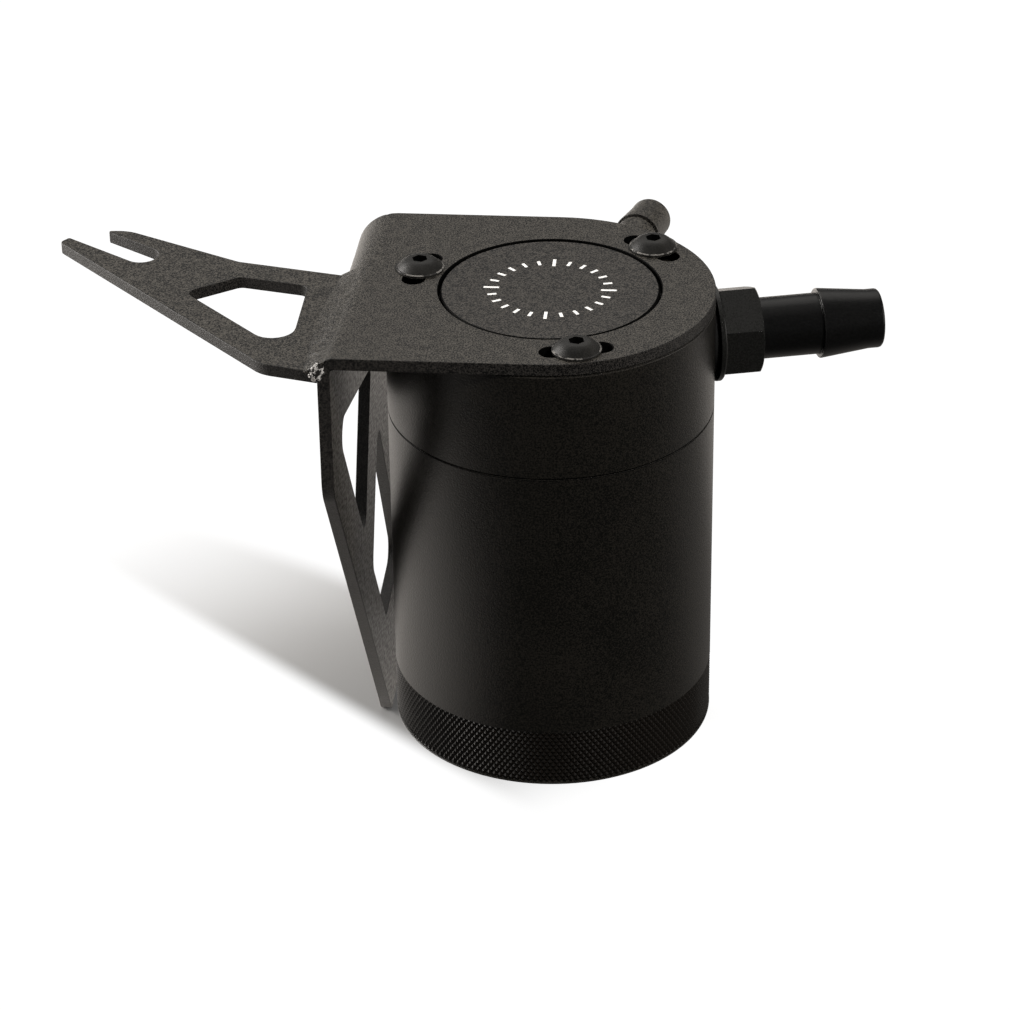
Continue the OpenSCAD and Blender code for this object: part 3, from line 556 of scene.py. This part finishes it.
def button_screw(k):
    """A cap screw with a bright rim of wear and painted highlight, and with its socket opened as a
    worn and coated one shows.
    """
    low_corner, high_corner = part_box(f"cap_screw_{k}")
    middle = (low_corner + high_corner) / 2 / MM
    top = high_corner.z / MM
    socket_r, socket_reach, opened, painted_shade_r, rim_drop = 1.9, 2.4, 1.12, 2.15, 1.6

    def from_middle(centre):
        return math.hypot(centre.x - middle.x, centre.y - middle.y)

    def wider_socket(co):
        if from_middle(co / MM) > socket_r or co.z / MM < top - socket_reach:
            return co
        return Vector((middle.x * MM + (co.x - middle.x * MM) * opened,
                       middle.y * MM + (co.y - middle.y * MM) * opened, co.z))

    screw = eased(f"cap_screw_{k}", f"button_screw_{k}",
                  (screw_black, screw_rim_wear_and_glint, painted_shade), 0.12, reshape=wider_socket)
    # Only the lower rim keeps the bright wear and painted highlight.
    paint(screw, screw_black, lambda c, n: c.z > top - rim_drop, was=screw_rim_wear_and_glint)
    # The socket and its lip go near-black: painted shade.
    paint(screw, painted_shade, lambda c, n: from_middle(c) < painted_shade_r and c.z < top - 0.05)


for k in (1, 2, 3):
    button_screw(k)


# The weld bead under the arm

def lower_bead(co):
    """Draws the bead under the arm in towards its corner."""
    shrunk, shortened, back = 0.55, 0.93, 0.6
    corner = Vector((leg_face, 0, arm_bottom)) * MM
    return Vector((corner.x + (co.x - corner.x) * shrunk, co.y * shortened + back * MM,
                   corner.z + (co.z - corner.z) * shrunk))


# The bead under the arm wears the darker coat: painted shade under the arm.
eased("weld_bottom", "lower_weld", (side_shade_coat, side_shade_coat), 0.05, reshape=lower_bead)


# Repeated forms, by Geometry Nodes

def grown(name, values, form, material):
    """The plain mesh of a Geometry Nodes group whose named inputs have these values.

    The function form(graph, given) adds the nodes between the inputs and the instances."""
    tree = bpy.data.node_groups.new(name, "GeometryNodeTree")
    tree.interface.new_socket("Geometry", in_out="OUTPUT", socket_type="NodeSocketGeometry")
    for label, value in values.items():
        kind = "NodeSocketInt" if isinstance(value, int) else "NodeSocketFloat"
        tree.interface.new_socket(label, in_out="INPUT", socket_type=kind)
    graph = Graph(tree)
    source = tree.nodes.new("NodeGroupInput")
    instances = form(graph, {label: Wire(graph, source.outputs[label]) for label in values})
    real = graph.add("GeometryNodeRealizeInstances", (), {"Geometry": instances})
    painted = graph.add("GeometryNodeSetMaterial", (), {"Geometry": real, "Material": material})
    graph.add("NodeGroupOutput", (), {"Geometry": painted})
    piece = add_piece(name, bpy.data.meshes.new(name))
    modifier = piece.modifiers.new("grow", "NODES")
    modifier.node_group = tree
    for item in tree.interface.items_tree:
        if item.in_out == "INPUT":
            modifier[item.identifier] = values[item.name]
    return evaluated(piece)


def knurl_points(graph, given):
    """Staggered four-sided points round a cylinder."""
    index = graph.add("GeometryNodeInputIndex")
    row = (index / given["Columns"]).floor()
    column = (index % given["Columns"]) + (row % 2) * 0.5
    turn = column * (2 * math.pi) / given["Columns"]
    root = given["Radius"] - given["Depth"]
    place = graph.combine(root * turn.math("COSINE"), root * turn.math("SINE"),
                          given["Foot"] + (row + 1) * given["Rise"])
    points = graph.add("GeometryNodePoints", (), {
        "Count": given["Columns"] * given["Rows"], "Position": place})
    point = graph.add("GeometryNodeMeshCone", {"fill_type": "NONE"}, {
        "Vertices": 4, "Radius Top": 0.0, "Radius Bottom": 1.0, "Depth": 1.0})
    half_width = root * math.pi / given["Columns"]
    return graph.add("GeometryNodeInstanceOnPoints", (), {
        "Points": points, "Instance": point,
        "Rotation": graph.combine(0.0, math.pi / 2, turn),
        "Scale": graph.combine(given["Rise"], half_width, given["Depth"])})


def index_bars(graph, given):
    """Short flat bars that point outwards, round a ring, with a longer one every so many."""
    index = graph.add("GeometryNodeInputIndex")
    turn = index * (2 * math.pi) / given["Count"]
    longer = (index % given["Long every"]).math("LESS_THAN", 0.5)
    points = graph.add("GeometryNodePoints", (), {
        "Count": given["Count"], "Position": graph.combine(
            given["Radius"] * turn.math("COSINE"), given["Radius"] * turn.math("SINE"),
            given["Height"])})
    bar = graph.add("GeometryNodeMeshCube", (), {"Size": (1.0, 1.0, 1.0)})
    length = given["Length"] * (1 + longer * given["Longer by"])
    return graph.add("GeometryNodeInstanceOnPoints", (), {
        "Points": points, "Instance": bar, "Rotation": graph.combine(0.0, 0.0, turn),
        "Scale": graph.combine(length, given["Width"], given["Thickness"])})


knurl_sizes = {"Columns": 168, "Rows": 14, "Radius": can_r * MM, "Foot": 0.3 * MM,
               "Rise": 1.03 * MM, "Depth": 0.45 * MM}
keep(grown("cup_knurl", knurl_sizes, knurl_points, knurled), "cup")
ring_sizes = {"Count": 24, "Radius": 14.2 * MM, "Height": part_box("cap")[1].z,
              "Length": 2.2 * MM, "Width": 0.8 * MM, "Thickness": 0.03 * MM,
              "Long every": 6, "Longer by": 0.7}
keep(grown("index_marks", ring_sizes, index_bars, white_ink), "cap")

# The weld bead over the arm, in mm. It runs from the front to behind the arm, narrows there over
# the run-out, and touches the bend.

bead_front, bead_back, bead_run_out = -40.3, 11.5, 24
bead_rows, bead_steps = 300, 14
bead_sunk = 0.04  # the toe's depth in the arm
bead_core = 0.6  # how far the bead's hidden edge lies inside the sheets
ripple_pitch, ripple_slant, ripple_rise = 3.1, 2.4, 0.20


def bead_row(bm, y):
    """The points of one row across the upper bead, from its toe on the arm to the bend."""
    end = math.sin(min(1.0, (bead_back - y) / bead_run_out) * math.pi / 2)
    wide = 0.5 + (2.9 + 0.9 * noise.noise(Vector((y * 0.22, 0, 3)))) * end
    radius = bend_at(y)
    middle = Vector((leg_face + radius, plate_top - radius))
    foot = Vector((leg_face - wide, arm_top - bead_sunk))
    reach = middle - foot
    lean = math.atan2(-reach.y, -reach.x) - math.acos(min(radius / reach.length, 1))
    head = middle + Vector((math.cos(lean), math.sin(lean))) * (radius - 0.03)
    out = Vector((-(head - foot).y, (head - foot).x)).normalized()
    row = []
    for step in range(bead_steps + 1):
        share = step / bead_steps
        uneven = 0.8 * noise.noise(Vector((y * 0.4, 5, 1)))
        ripple = ((y + ripple_slant * share + uneven) / ripple_pitch % 1.0) ** 1.5
        lumpy = 0.30 * noise.noise(Vector((y * 0.35, share * 2, 7)))
        bulge = 4 * share * (1 - share) * (ripple_rise * ripple - 0.05 + lumpy) * end
        point = foot.lerp(head, share) + out * bulge
        row.append(bm.verts.new((point.x * MM, y * MM, point.y * MM)))
    row.append(bm.verts.new(((leg_face + bead_core) * MM, y * MM, (arm_top - bead_core) * MM)))
    return row


def add_lump(bm):
    """An uneven lump at the upper bead's front end."""
    for vertex in bmesh.ops.create_icosphere(bm, subdivisions=4, radius=1.0)["verts"]:
        way = vertex.co.copy()
        size = 2.0 + 0.6 * noise.noise(way * 1.4) + 0.55 * noise.noise(way * 4)
        vertex.co = Vector((leg_face + 0.1 + way.x * size * 0.95 + way.z * 0.45,
                            -39.8 + way.y * size * 0.8,
                            arm_top + 0.1 + way.z * size * 1.1)) * MM


def upper_bead():
    """A convex fillet of overlapping ripples in the corner over the arm, with its lump."""
    bm = bmesh.new()
    length = bead_back - bead_front
    rows = [bead_row(bm, bead_front + length * k / bead_rows) for k in range(bead_rows + 1)]
    for near_row, far_row in zip(rows, rows[1:]):
        for j in range(len(near_row)):
            k = (j + 1) % len(near_row)
            bm.faces.new((near_row[j], near_row[k], far_row[k], far_row[j]))
    bm.faces.new(rows[0])
    bm.faces.new(rows[-1])
    ripples = len(bm.faces)
    add_lump(bm)
    bmesh.ops.recalc_face_normals(bm, faces=bm.faces)
    mesh = bpy.data.meshes.new("weld_bead")
    bm.to_mesh(mesh)
    bm.free()
    for number, polygon in enumerate(mesh.polygons):
        polygon.use_smooth = number < ripples
        polygon.material_index = int(number >= ripples)
    mesh.set_sharp_from_angle(angle=math.radians(40))
    return add_piece("weld_bead", mesh, (coat, weld))


keep(upper_bead(), "weld_top", "weld_top")


# The floor and the world

def rays(graph):
    """Wires that are 1 for the rays of the camera, and for those of mirrors and glass."""
    camera_ray, mirror_ray, glass_ray = [
        graph.add("ShaderNodeLightPath", (), (), f"Is {kind} Ray")
        for kind in ("Camera", "Glossy", "Transmission")]
    return camera_ray, (mirror_ray + glass_ray).clamped()


def shadow_band(across, along):
    """How much shadow the floor may take, and the way down the shadow in metres.

    The band is a wedge from the can to the back left, and fades out at its far end."""
    left, back = 0.68, 0.73
    way = along * back - across * left
    off = across * back + along * left
    near_side = (off + (way - 0.083) * 0.1).smooth(-0.0135, -0.005)
    far_side = (off + way * 0.32).smooth(0.066, 0.080, 1.0, 0.0)
    ends = way.smooth(0.0, 0.06) * way.smooth(0.10, 0.215, 1.0, 0.0)
    return near_side * far_side * ends, way


def painted_floor_glow(across, along):
    """How bright the floor glows for mirror rays alone, a painted reflection on the satin parts:
    to the can's left, and behind it and the leg.
    """
    left_side = across.smooth(-0.12, -0.04, 0.95, 0.0) * along.smooth(-0.20, -0.03)
    behind_leg = (along.smooth(-0.05, 0.02, 0.0, 0.72) + along.smooth(0.05, 0.14, 0.0, -0.60)
                  + along.smooth(0.20, 0.28, 0.0, 1.9)) * across.smooth(-0.04, 0.0, 1.0, 0.0)
    behind_can = (along.smooth(-0.05, 0.07, 0.0, 0.2)
                  + along.smooth(0.12, 0.21, 0.0, 0.5)) * across.smooth(-0.04, 0.0)
    return left_side.math("MAXIMUM", behind_leg + behind_can)


def white_floor():
    """A table that is white to the eye and takes the can's shadow only in its band, where near the
    can a painted shadow also darkens its colour.
    """
    material, graph = empty_material("floor")
    across, along, _ = graph.xyz(graph.place())
    band, way = shadow_band(across, along)
    shade_depth, shade_rest = 0.69, 0.04
    white_level, shade_gain = 1.06, 1.42
    takes = band * shade_depth + shade_rest
    # Near the can the floor's grey drops further: a painted shadow that deepens the cast one.
    painted_shadow_grey = takes * way.smooth(0.07, 0.17, 0.60, 1.0)
    to_eye, to_mirror = rays(graph)
    pale = graph.add("ShaderNodeBsdfDiffuse", (), {
        "Color": graph.combine(painted_shadow_grey, painted_shadow_grey, painted_shadow_grey)})
    glow = graph.add("ShaderNodeEmission", (), {
        "Color": graph.mix(to_eye, (1.0, 0.93, 0.86, 1.0), (1.0, 1.0, 1.0, 1.0)),
        "Strength": to_eye * (white_level - takes * shade_gain)
        + to_mirror * painted_floor_glow(across, along)})
    graph.add("ShaderNodeOutputMaterial", (), {
        "Surface": graph.add("ShaderNodeAddShader", (), {0: pale, 1: glow})})
    return material


side, low = 30.0, cad_box[0].z
floor_mesh = bpy.data.meshes.new("floor")
floor_mesh.from_pydata([(-side, -side, low), (side, -side, low), (side, side, low),
                        (-side, side, low)], [], [(0, 1, 2, 3)])
floor_material = white_floor()
add_piece("floor", floor_mesh, (floor_material,))

world = bpy.data.worlds.new("studio")
bpy.context.scene.world = world
world.use_nodes = True
world.node_tree.nodes.clear()
sky = Graph(world.node_tree)
sky_light, sky_seen = 0.08, 0.92  # on the object, and added for the camera's own rays
sky.add("ShaderNodeOutputWorld", (), {"Surface": sky.add("ShaderNodeBackground", (), {
    "Color": (1, 1, 1, 1), "Strength": rays(sky)[0] * sky_seen + sky_light})})


# The lamps

def soft_light(name, turn, rise, distance, wide, tall, strength, mirrored=True):
    """A soft box that faces the can, at a distance in metres.

    In degrees, turn is from the front towards +X and rise is above the floor."""
    turn, rise = math.radians(turn), math.radians(rise)
    place = Vector((math.sin(turn) * math.cos(rise), -math.cos(turn) * math.cos(rise),
                    math.sin(rise)))
    lamp = bpy.data.lights.new(name, "AREA")
    lamp.shape = "RECTANGLE"
    lamp.size, lamp.size_y = wide, tall
    lamp.energy = strength * wide * tall * math.pi
    lamp.color = (1.0, 0.965, 0.925)
    light = bpy.data.objects.new(name, lamp)
    light.location = place * distance + Vector((0, 0, 0.06))
    light.rotation_euler = place.to_track_quat("Z", "Y").to_euler()
    light.visible_glossy = mirrored
    bpy.context.scene.collection.objects.link(light)


soft_light("left", turn=-106, rise=14, distance=0.9, wide=0.40, tall=0.7, strength=11.0)
soft_light("key", turn=42, rise=46, distance=2.2, wide=0.45, tall=0.45, strength=100.0,
           mirrored=False)
soft_light("left_fill", turn=-82, rise=14, distance=1.0, wide=0.45, tall=0.7, strength=1.8)
soft_light("right_fill", turn=88, rise=14, distance=1.2, wide=0.7, tall=0.7, strength=1.3)
soft_light("top", turn=0, rise=86, distance=1.0, wide=0.5, tall=0.5, strength=0.5)
soft_light("back", turn=-168, rise=50, distance=1.5, wide=2.0, tall=1.1, strength=0.85)

# The camera, with its angles in radians, its place in mm and its focal length in pixels

yaw, pitch, roll = -0.0936, 0.5208, -0.0152
camera_place = Vector((62.09, -785.80, 509.04))
focal_px, image_px, sensor_mm = 3648.62, 1010, 36
forward = Vector((math.sin(yaw) * math.cos(pitch), math.cos(yaw) * math.cos(pitch),
                  -math.sin(pitch)))
right = forward.cross(Vector((0, 0, 1))).normalized()
up = right.cross(forward)
turned_right = math.cos(roll) * right + math.sin(roll) * up
turned_up = -math.sin(roll) * right + math.cos(roll) * up
lens = bpy.data.cameras.new("camera")
lens.sensor_width = sensor_mm
lens.lens = focal_px / image_px * sensor_mm
lens.clip_start, lens.clip_end = 0.05, 100
camera = bpy.data.objects.new("camera", lens)
camera.matrix_world = Matrix.Translation(camera_place * MM) @ Matrix(
    (turned_right, turned_up, -forward)).transposed().to_4x4()
bpy.context.scene.collection.objects.link(camera)
bpy.context.scene.camera = camera
bpy.context.scene.view_settings.view_transform = "Standard"
